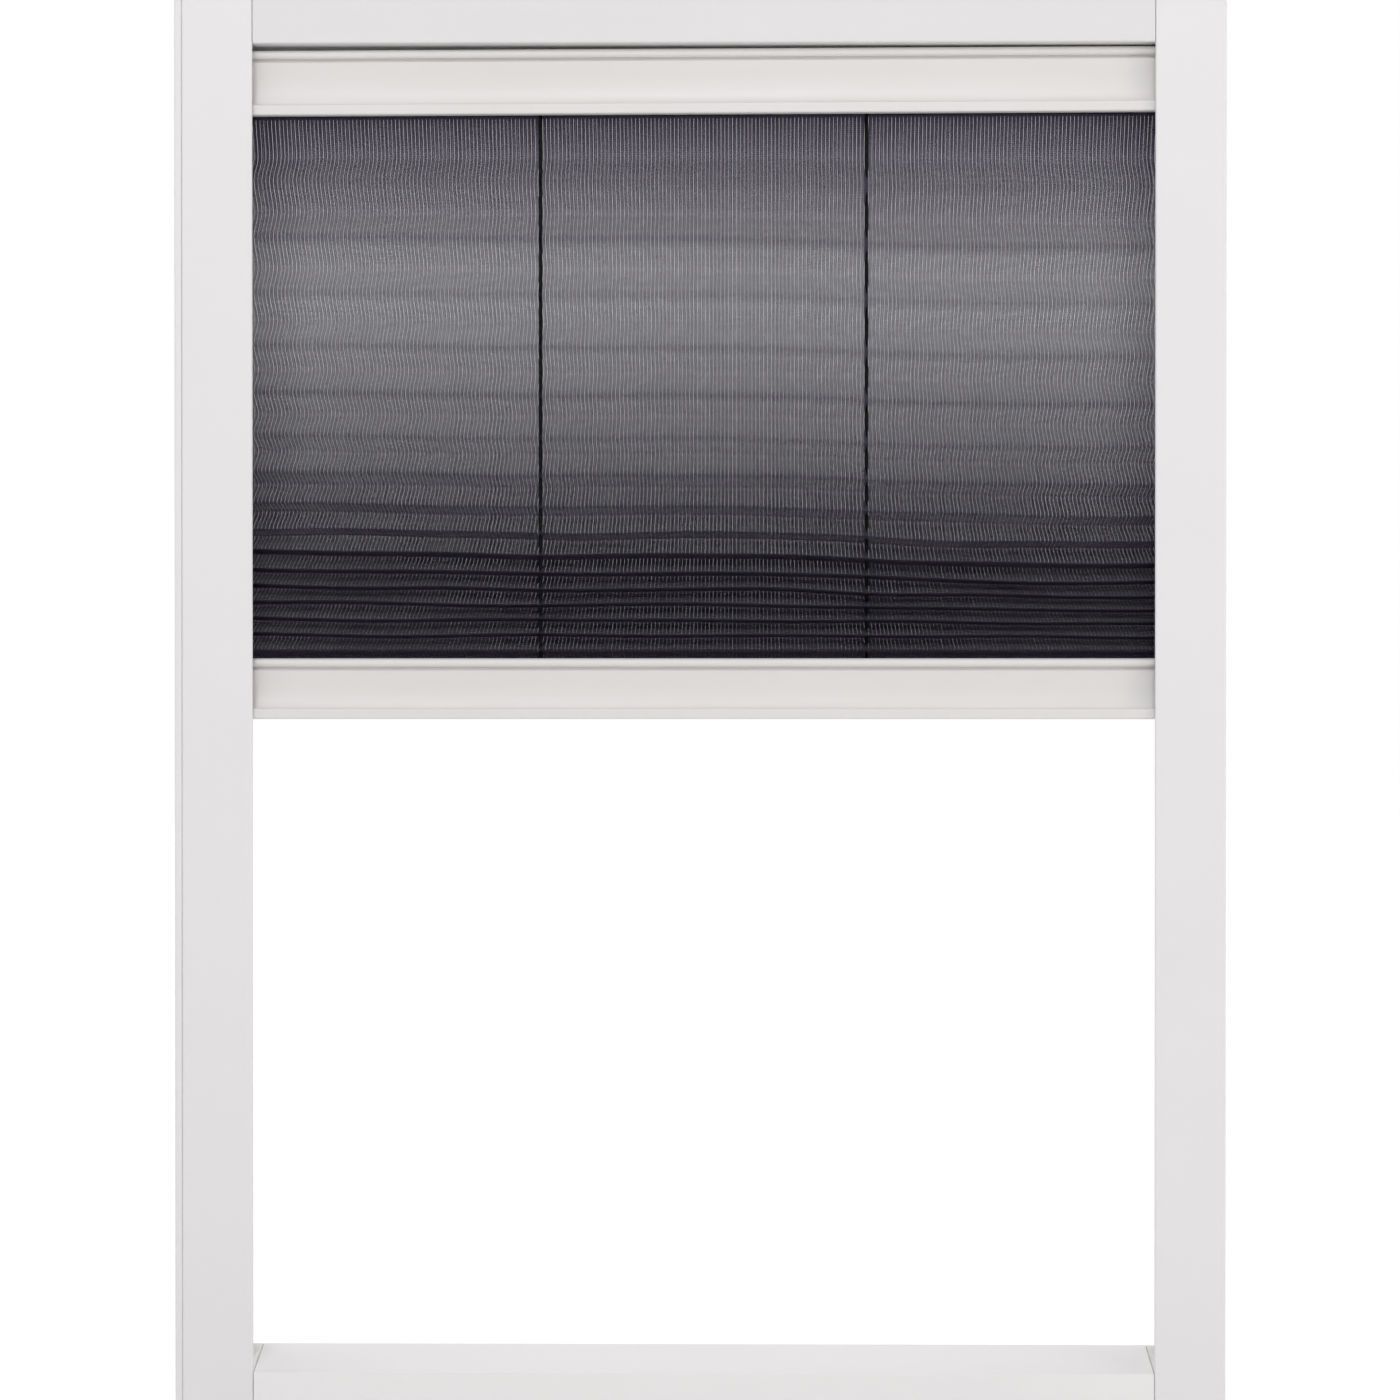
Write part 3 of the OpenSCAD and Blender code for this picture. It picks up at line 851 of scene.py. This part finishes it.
        # The front creases are the even knots.
        crease = (steps / 2 + 0.5).astype(int)
        near_crease = 1 - smoothstep(np.abs(steps - 2 * crease) / self.crease_reach)
        # Near each front crease the threads widen, partly as painted shade in the crease.
        tone = self.pleat_tones[(steps / 2).astype(int)] * (1 - self.creases[crease] * near_crease)
        pitch, _ = self.pitches()
        drop = np.interp(steps, FIRST_FOLD + 1 + 2 * np.arange(len(pitch)), pitch / 2 / self.face_wefts)
        weft_height = 2 * self.weft_radius * math.sin(math.tau / self.thread_sides)
        left_by_wefts = 1 - np.minimum(weft_height / drop, self.most_weft_cover)
        covered = np.clip(1 - wanted * tone / left_by_wefts, 0, 1)
        return covered * self.line_pitch / self.group / 2

    def weave(self, name: str, first: int, last: int) -> tuple[bpy.types.Object, float]:
        """Weave the cloth between two knots.

        Args:
            name: Name of the piece.
            first: Knot at its head.
            last: Knot at its foot.

        Returns:
            The piece and the length of its cloth when flat, in millimetres.
        """
        warp_steps = np.linspace(first, last, (last - first) * self.warp_samples + 1)
        warp = self.surface(self.warp_x, warp_steps)
        parts = [sweep_ribbons(warp, self.warp_radii(warp, warp_steps), self.outside_slits(warp))]
        weft_steps = np.arange(first + 0.5 / self.face_wefts, last, 1 / self.face_wefts)
        edges = [self.left]
        for cord_x, _ in self.cords:
            edges += [cord_x - self.slit_half, cord_x + self.slit_half]
        edges.append(self.right)
        for i, (start, end) in enumerate(zip(edges, edges[1:])):
            # Every second span is a bridge behind a cord.
            bridge = i % 2 == 1
            places = np.linspace(start, end, 2 if bridge else self.span_samples + 1)
            weft = np.swapaxes(self.surface(places, weft_steps), 0, 1)
            if bridge:
                middles = weft.mean(axis=1)
                middles[:, 0] = self.cords[i // 2][0]
                weft = weft[self.outside_slits(middles)]
            radii = np.full(weft.shape[:2], self.weft_radius)
            parts.append(sweep_tubes(weft, radii, (0, 0, 1), self.thread_sides))
        piece = make_object(name, *join_parts(parts), self.yarn)
        line = warp[len(warp) // 2]
        length = float(np.linalg.norm(np.diff(line, axis=0), axis=1).sum())
        log.info("wove %s: %d by %d threads, %.0f mm of cloth", name, len(warp), len(weft_steps), length)
        return piece, length

    def build(self) -> float:
        """Weave the three lengths.

        Returns:
            Height in millimetres of the fold that stays still.
        """
        _, heights = self.knots(np.linspace(self.left, self.right, self.level_samples))
        still_fold = heights[self.head_split]
        last = len(heights) - 1
        lengths = (
            ("head", 0, self.head_split, "upper_bar", still_fold.max(), self.head),
            ("middle", self.head_split, self.stack_split, "lower_bar", still_fold.min(), self.foot),
            ("stack", self.stack_split, last, "lower_bar", still_fold.min(), self.foot),
        )
        for name, first, end, bar, still, bar_height in lengths:
            piece, length = self.weave(f"pleated_mesh_{name}", first, end)
            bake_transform(piece)
            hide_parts("pleated_mesh")
        return float(still_fold.mean())


@dataclass
class GuideCord:
    """A guide cord, from the head of one jamb through both bars and the mesh to the foot of the other jamb.

    Lengths are in millimetres. It is made in lengths, so that each one follows the bar that it runs in.
    """

    side: Side
    braid: bpy.types.Material
    still_height: float
    spread: float
    radius: float = 0.75
    sides: int = 8
    bend: float = 3.0
    bend_steps: int = 6
    cord_inset: float = 11.6
    step: float = 6.0

    def __post_init__(self) -> None:
        """Read the route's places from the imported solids."""
        node = f"{self.side.value}_cord"
        low, high = node_box(node)
        bar_low, bar_high = node_box("lower_bar")
        underside, half_drop = upper_bar_place()
        bore = (high[1] - low[1]) / 2
        turn = 1 if self.side is Side.LEFT else -1
        self.node = node
        self.y = (low[1] + high[1]) / 2
        self.near_x = low[0] + bore if turn == 1 else high[0] - bore
        self.far_x = high[0] - bore if turn == 1 else low[0] + bore
        self.top, self.bottom = high[2], low[2]
        self.upper_foot, self.lower_head = underside, bar_high[2]
        self.lower_level = bar_high[2] - self.cord_inset
        self.mesh_x = (self.near_x + self.far_x) / 2 - turn * self.spread
        rise = 2 * half_drop / (bar_high[0] - bar_low[0])
        self.turn_level = underside + self.cord_inset - rise * (self.far_x - self.near_x) / 2
        self.drop_level = underside + self.cord_inset - rise * turn * self.spread

    def rounded(self, route: list[tuple[float, float]]) -> np.ndarray:
        """Round the corners of a route, which are about square, and divide its straights.

        Args:
            route: Points in X and Z.

        Returns:
            Points in X, Y and Z.
        """
        points = [np.array(p, float) for p in route]
        path = [points[0]]
        for before, corner, after in zip(points, points[1:], points[2:]):
            u = (before - corner) / np.linalg.norm(before - corner)
            v = (after - corner) / np.linalg.norm(after - corner)
            centre = corner + self.bend * (u + v)
            for angle in np.linspace(0, math.pi / 2, self.bend_steps + 1):
                path.append(centre - self.bend * (v * math.cos(angle) + u * math.sin(angle)))
        path.append(points[-1])
        divided = [path[0]]
        for start, end in zip(path, path[1:]):
            parts = max(1, round(float(np.linalg.norm(end - start)) / self.step))
            divided += [start + (end - start) * k / parts for k in range(1, parts + 1)]
        return np.array([(x, self.y, z) for x, z in divided])

    def length_of_cord(self, name: str, route: list[tuple[float, float]]) -> bpy.types.Object:
        """Make one length of the cord.

        Args:
            name: What the length is called, after the cord's own name.
            route: Its points in X and Z.

        Returns:
            The piece.
        """
        line = self.rounded(route)[None]
        vertices, faces = sweep_tubes(line, np.full(line.shape[:2], self.radius), (0, 1, 0), self.sides)
        piece = make_object(f"{self.node}_{name}", vertices, faces, self.braid)
        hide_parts(self.node)
        log.info("laid %s", piece.name)
        return piece

    def build(self) -> None:
        """Lay the cord and tie the lengths that run inside a bar to that bar."""
        turn_top, foot_top = self.turn_level + self.bend, self.lower_level - self.bend
        # Name, bar, heights of the ends on the frame and on the bar where it has both, and route.
        lengths = (
            ("head", "upper_bar", (self.top, turn_top), [(self.near_x, self.top), (self.near_x, turn_top)]),
            ("upper_run", "upper_bar", None, [
                (self.near_x, turn_top), (self.near_x, self.turn_level),
                (self.mesh_x, self.drop_level), (self.mesh_x, self.upper_foot)]),
            ("above", "upper_bar", (self.still_height, self.upper_foot), [
                (self.mesh_x, self.upper_foot), (self.mesh_x, self.still_height)]),
            ("below", "lower_bar", (self.still_height, self.lower_head), [
                (self.mesh_x, self.still_height), (self.mesh_x, self.lower_head)]),
            ("lower_run", "lower_bar", None, [
                (self.mesh_x, self.lower_head), (self.mesh_x, self.lower_level),
                (self.far_x, self.lower_level), (self.far_x, foot_top)]),
            ("foot", "lower_bar", (self.bottom, foot_top), [
                (self.far_x, foot_top), (self.far_x, self.bottom)]),
        )
        for name, bar, ends, route in lengths:
            piece = self.length_of_cord(name, route)
            if ends is None:
                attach(piece, bar)
            else:
                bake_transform(piece)


@dataclass
class PileSeal:
    """A brush seal in a jamb: a backing strip with rows of fine fibres that brush the mesh.

    Lengths are in millimetres.
    """

    side: Side
    fibre: bpy.types.Material
    backing_height: float = 1.0
    pile_width: float = 2.8
    rows: int = 4
    tuft_step: float = 1.0
    fibre_radius: float = 0.28
    fibre_taper: Point = (1.0, 0.8, 0.25)
    fibre_sides: int = 3
    lean: float = 0.35
    seed: int = 11

    def build(self) -> bpy.types.Object:
        """Make the seal.

        Returns:
            The piece.
        """
        node = f"{self.side.value}_pile_seal"
        low, high = node_box(node)
        base_y = high[1] - self.backing_height
        corners = np.array([(x, y, z) for z in (low[2], high[2]) for y in (base_y, high[1])
                            for x in (low[0], high[0])])
        backing = [[0, 2, 3, 1], [4, 5, 7, 6], [0, 1, 5, 4], [2, 6, 7, 3], [0, 4, 6, 2], [1, 3, 7, 5]]
        draws = np.random.default_rng(self.seed)
        mid_x = (low[0] + high[0]) / 2
        xs = mid_x + self.pile_width * (np.arange(self.rows) / (self.rows - 1) - 0.5)
        zs = np.arange(low[2] + self.tuft_step, high[2] - self.tuft_step / 2, self.tuft_step)
        grid = np.array([(x, z) for z in zs for x in xs])
        sway = draws.uniform(-self.lean, self.lean, (len(grid), 2))
        tip = low[1] + draws.uniform(0, self.lean, len(grid))
        root = np.stack([grid[:, 0], np.full(len(grid), base_y), grid[:, 1]], axis=1)
        point = np.stack([grid[:, 0] + sway[:, 0], tip, grid[:, 1] + sway[:, 1]], axis=1)
        lines = np.stack([root, (root + point) / 2, point], axis=1)
        thin = self.fibre_radius * np.tile(self.fibre_taper, (len(grid), 1))
        pile = sweep_tubes(lines, thin, (0, 0, 1), self.fibre_sides)
        brush = join_parts([(corners, backing), pile])
        piece = make_object(f"{node}_brush", *brush, self.fibre, smooth=False)
        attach(piece, "frame")
        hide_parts(node)
        log.info("brushed %s: %d fibres", piece.name, len(grid))
        return piece


@dataclass
class CornerScrews:
    """Countersunk screws with a cross recess, which hold the corner connectors.

    Lengths are in millimetres.
    """

    steel: bpy.types.Material
    head_radius: float = 3.1
    core_radius: float = 1.35
    crest_radius: float = 1.8
    length: float = 11.0
    point: float = 2.2
    tip_radius: float = 0.1
    thread_pitch: float = 1.3
    # Shares of the pitch at which the thread's root and crest lie.
    root_share: float = 0.3
    crest_share: float = 0.65
    recess_depth: float = 1.1
    recess_reach: float = 1.75
    recess_half: float = 0.42
    recess_taper: float = 0.8
    # The back screws sit this far from the ends of the rails, and the side screws this far behind the middle.
    back_inset: float = 10.0
    side_y: float = 5.0
    segments: int = 36

    def recessed_head(self) -> Shape:
        """Flat head with a cross recess, facing up at height 0.

        Returns:
            Its vertices and faces.
        """
        half, reach = self.recess_half, self.recess_reach
        arm = [(reach, -half), (reach, half), (half, half)]
        outline = [(x * math.cos(turn) - y * math.sin(turn), x * math.sin(turn) + y * math.cos(turn))
                   for turn in (k * math.pi / 2 for k in range(4)) for x, y in arm]
        rim = [(self.head_radius * math.cos(k * math.tau / self.segments),
                self.head_radius * math.sin(k * math.tau / self.segments)) for k in range(self.segments)]
        count, edge = self.segments, len(outline)
        vertices = [(x, y, 0) for x, y in rim + outline]
        vertices += [(self.recess_taper * x, self.recess_taper * y, -self.recess_depth) for x, y in outline]
        nearest = [round(math.atan2(y, x) / math.tau * count) for x, y in outline]
        faces = []
        for i in range(edge):
            j = (i + 1) % edge
            span = (nearest[j] - nearest[i]) % count
            arc = [(nearest[i] + k) % count for k in range(span + 1)]
            faces.append([count + j, count + i] + arc)
            faces.append([count + i, count + j, count + edge + j, count + edge + i])
        faces.append([count + edge + i for i in range(edge)])
        return np.array(vertices), faces

    def shank(self) -> Shape:
        """Cone under the head, rolled thread and point.

        Returns:
            Its vertices and faces.
        """
        profile = [(self.head_radius, 0.0), (self.crest_radius, -(self.head_radius - self.crest_radius))]
        height = profile[-1][1]
        while height > -(self.length - self.point):
            profile += [(self.core_radius, height - self.root_share * self.thread_pitch),
                        (self.crest_radius, height - self.crest_share * self.thread_pitch)]
            height -= self.thread_pitch
        profile += [(self.core_radius, height), (self.tip_radius, -self.length)]
        turns = np.arange(self.segments) * math.tau / self.segments
        rings = np.array([[(radius * math.cos(turn), radius * math.sin(turn), level) for turn in turns]
                          for radius, level in profile])
        index = np.arange(len(profile) * self.segments).reshape(len(profile), self.segments)
        turned = np.roll(index, -1, axis=1)
        quads = np.stack([index[:-1], index[1:], turned[1:], turned[:-1]], axis=-1).reshape(-1, 4).tolist()
        return rings.reshape(-1, 3), quads + [index[-1, ::-1].tolist()]

    def places(self) -> list[tuple[Point, Point]]:
        """Where the screws sit.

        Returns:
            The middle of each head and the direction that it faces.
        """
        left_low, _ = node_box("left_jamb")
        _, right_high = node_box("right_jamb")
        top_low, top_high = node_box("top_rail")
        face = top_high[2] - top_low[2]
        found = []
        for z in (face / 2, top_high[2] - face / 2):
            found.append(((left_low[0], self.side_y, z), (-1, 0, 0)))
            found.append(((right_high[0], self.side_y, z), (1, 0, 0)))
            for x in (top_low[0] + self.back_inset, top_high[0] - self.back_inset):
                found.append(((x, top_high[1], z), (0, 1, 0)))
        return found

    def build(self) -> bpy.types.Object:
        """Make all the screws as one piece.

        Returns:
            The piece.
        """
        pattern, faces = join_parts([self.recessed_head(), self.shank()])
        parts = []
        for middle, facing in self.places():
            turn = np.array(Vector((0, 0, 1)).rotation_difference(Vector(facing)).to_matrix())
            parts.append((pattern @ turn.T + np.array(middle), faces))
        piece = make_object("corner_screws_recessed", *join_parts(parts), self.steel, smooth=False)
        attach(piece, "frame")
        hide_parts("corner_screws")
        log.info("set %d screws", len(parts))
        return piece


@dataclass(frozen=True)
class SoftLamp:
    """A large soft lamp that points at the middle of the screen. Lengths are in metres."""

    name: str
    place: Point
    size: float
    power: float
    tone: str = "#FFFFFF"

    def build(self, target: Vector) -> None:
        """Hang the lamp.

        Args:
            target: Point that it faces.
        """
        data = bpy.data.lights.new(self.name, "AREA")
        data.shape = "DISK"
        data.size = self.size
        data.energy = self.power
        data.color = hex_to_linear(self.tone)[:3]
        lamp = add_object(self.name, data)
        lamp.location = self.place
        lamp.rotation_euler = (target - Vector(self.place)).to_track_quat("-Z", "Y").to_euler()


@dataclass
class Studio:
    """Camera, lamps, white world and floor. Lengths are in metres."""

    photo_width_px: float = 1400.0
    focal_px: float = 3600.0
    sensor_mm: float = 36.0
    target: Point = (0.0002, -0.015, 0.2833)
    distance: float = 1.3688
    azimuth_deg: float = 0.7
    elevation_deg: float = 0.4
    floor_half: float = 6.0
    front_glow: float = 0.36
    back_glow: float = 1.1
    # The glow changes over this much of the direction's Y, either side of the plane of the screen.
    glow_change: float = 0.3
    lamps: tuple[SoftLamp, ...] = (
        SoftLamp("front_panel", (-0.3, -4.0, 2.8), 2.4, 80.0, "#FDFCFF"),
        SoftLamp("side_lamp_right", (1.75, -1.1, 0.5), 0.8, 5.0, "#FFF8F2"),
    )

    def build(self) -> None:
        """Set up the camera, the lamps, the world and the floor."""
        target = Vector(self.target)
        azimuth, elevation = math.radians(self.azimuth_deg), math.radians(self.elevation_deg)
        back = Vector((math.sin(azimuth) * math.cos(elevation), -math.cos(azimuth) * math.cos(elevation),
                       math.sin(elevation)))
        data = bpy.data.cameras.new("photo_camera")
        data.sensor_width = self.sensor_mm
        data.lens = self.focal_px / self.photo_width_px * self.sensor_mm
        camera = add_object("photo_camera", data)
        camera.location = target + back * self.distance
        camera.rotation_euler = (-back).to_track_quat("-Z", "Y").to_euler()
        bpy.context.scene.camera = camera
        for lamp in self.lamps:
            lamp.build(target)
        self.build_world()
        half = self.floor_half / MM
        corners = np.array([(-half, -half, 0), (half, -half, 0), (half, half, 0), (-half, half, 0)])
        make_object("studio_floor", corners, [[0, 1, 2, 3]], StudioWhite().build(), smooth=False)
        bpy.context.scene.view_settings.view_transform = "Standard"

    def build_world(self) -> None:
        """Make a world that looks white and lights the object softly."""
        world = bpy.data.worlds.new("white_studio")
        bpy.context.scene.world = world
        world.use_nodes = True
        tree = world.node_tree
        tree.nodes.clear()
        direction = add_node(tree, "ShaderNodeSeparateXYZ", {
            "Vector": add_node(tree, "ShaderNodeTexCoord").outputs["Generated"]})
        glow = add_node(tree, "ShaderNodeMapRange", {
            "Value": direction.outputs["Y"], "From Min": -self.glow_change, "From Max": self.glow_change,
            "To Min": self.front_glow, "To Max": self.back_glow})
        strength = add_node(tree, "ShaderNodeMix", {
            "Factor": seen_as_background(tree), "A": glow.outputs["Result"], "B": 1.0})
        sky = add_node(tree, "ShaderNodeBackground", {
            "Color": hex_to_linear("#FFFFFF"), "Strength": strength.outputs["Result"]})
        add_node(tree, "ShaderNodeOutputWorld", {"Surface": sky.outputs[0]})


def main() -> None:
    """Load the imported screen, dress it and set up the studio."""
    logging.basicConfig(level=logging.INFO, format="%(name)s: %(message)s")
    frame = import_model()
    nodes = frame["nodes"]
    upright_coat = PowderCoat("white_powder_coat_on_uprights", Grain.ALONG_Z).build()
    # The head carries the same white coat as the uprights; its darker tone is painted shade.
    head_coat_painted_shade = PowderCoat("white_powder_coat_on_head_painted_shade", Grain.ALONG_X, "#E2E0E0", "#DEDCDD").build()
    # The sill carries the same white coat as well; its lighter tone is painted light.
    sill_coat_painted_light = PowderCoat("white_powder_coat_on_sill_painted_light", Grain.ALONG_X, "#F0EEED", "#ECEAEA").build()
    bar_coat = PowderCoat("white_powder_coat_on_bars", Grain.ALONG_X, "#E1DFDD", "#DDDBD8").build()
    plastic = MouldedPlastic("white_acetal_moulded").build()
    Studio().build()
    CoatedFrame(nodes, upright_coat, head_coat_painted_shade, sill_coat_painted_light, plastic).dress()
    for prefix in ("upper", "lower"):
        SlidingBar(prefix, nodes, bar_coat, plastic).dress()
    cloth = PleatedCloth(CoatedYarn().build())
    still_height = cloth.build()
    braid = BraidedCord().build()
    fibre = PileFibre().build()
    for side in Side:
        GuideCord(side, braid, still_height, cloth.cord_spread).build()
        PileSeal(side, fibre).build()
    CornerScrews(ZincSteel().build()).build()


if __name__ == "__main__":
    main()
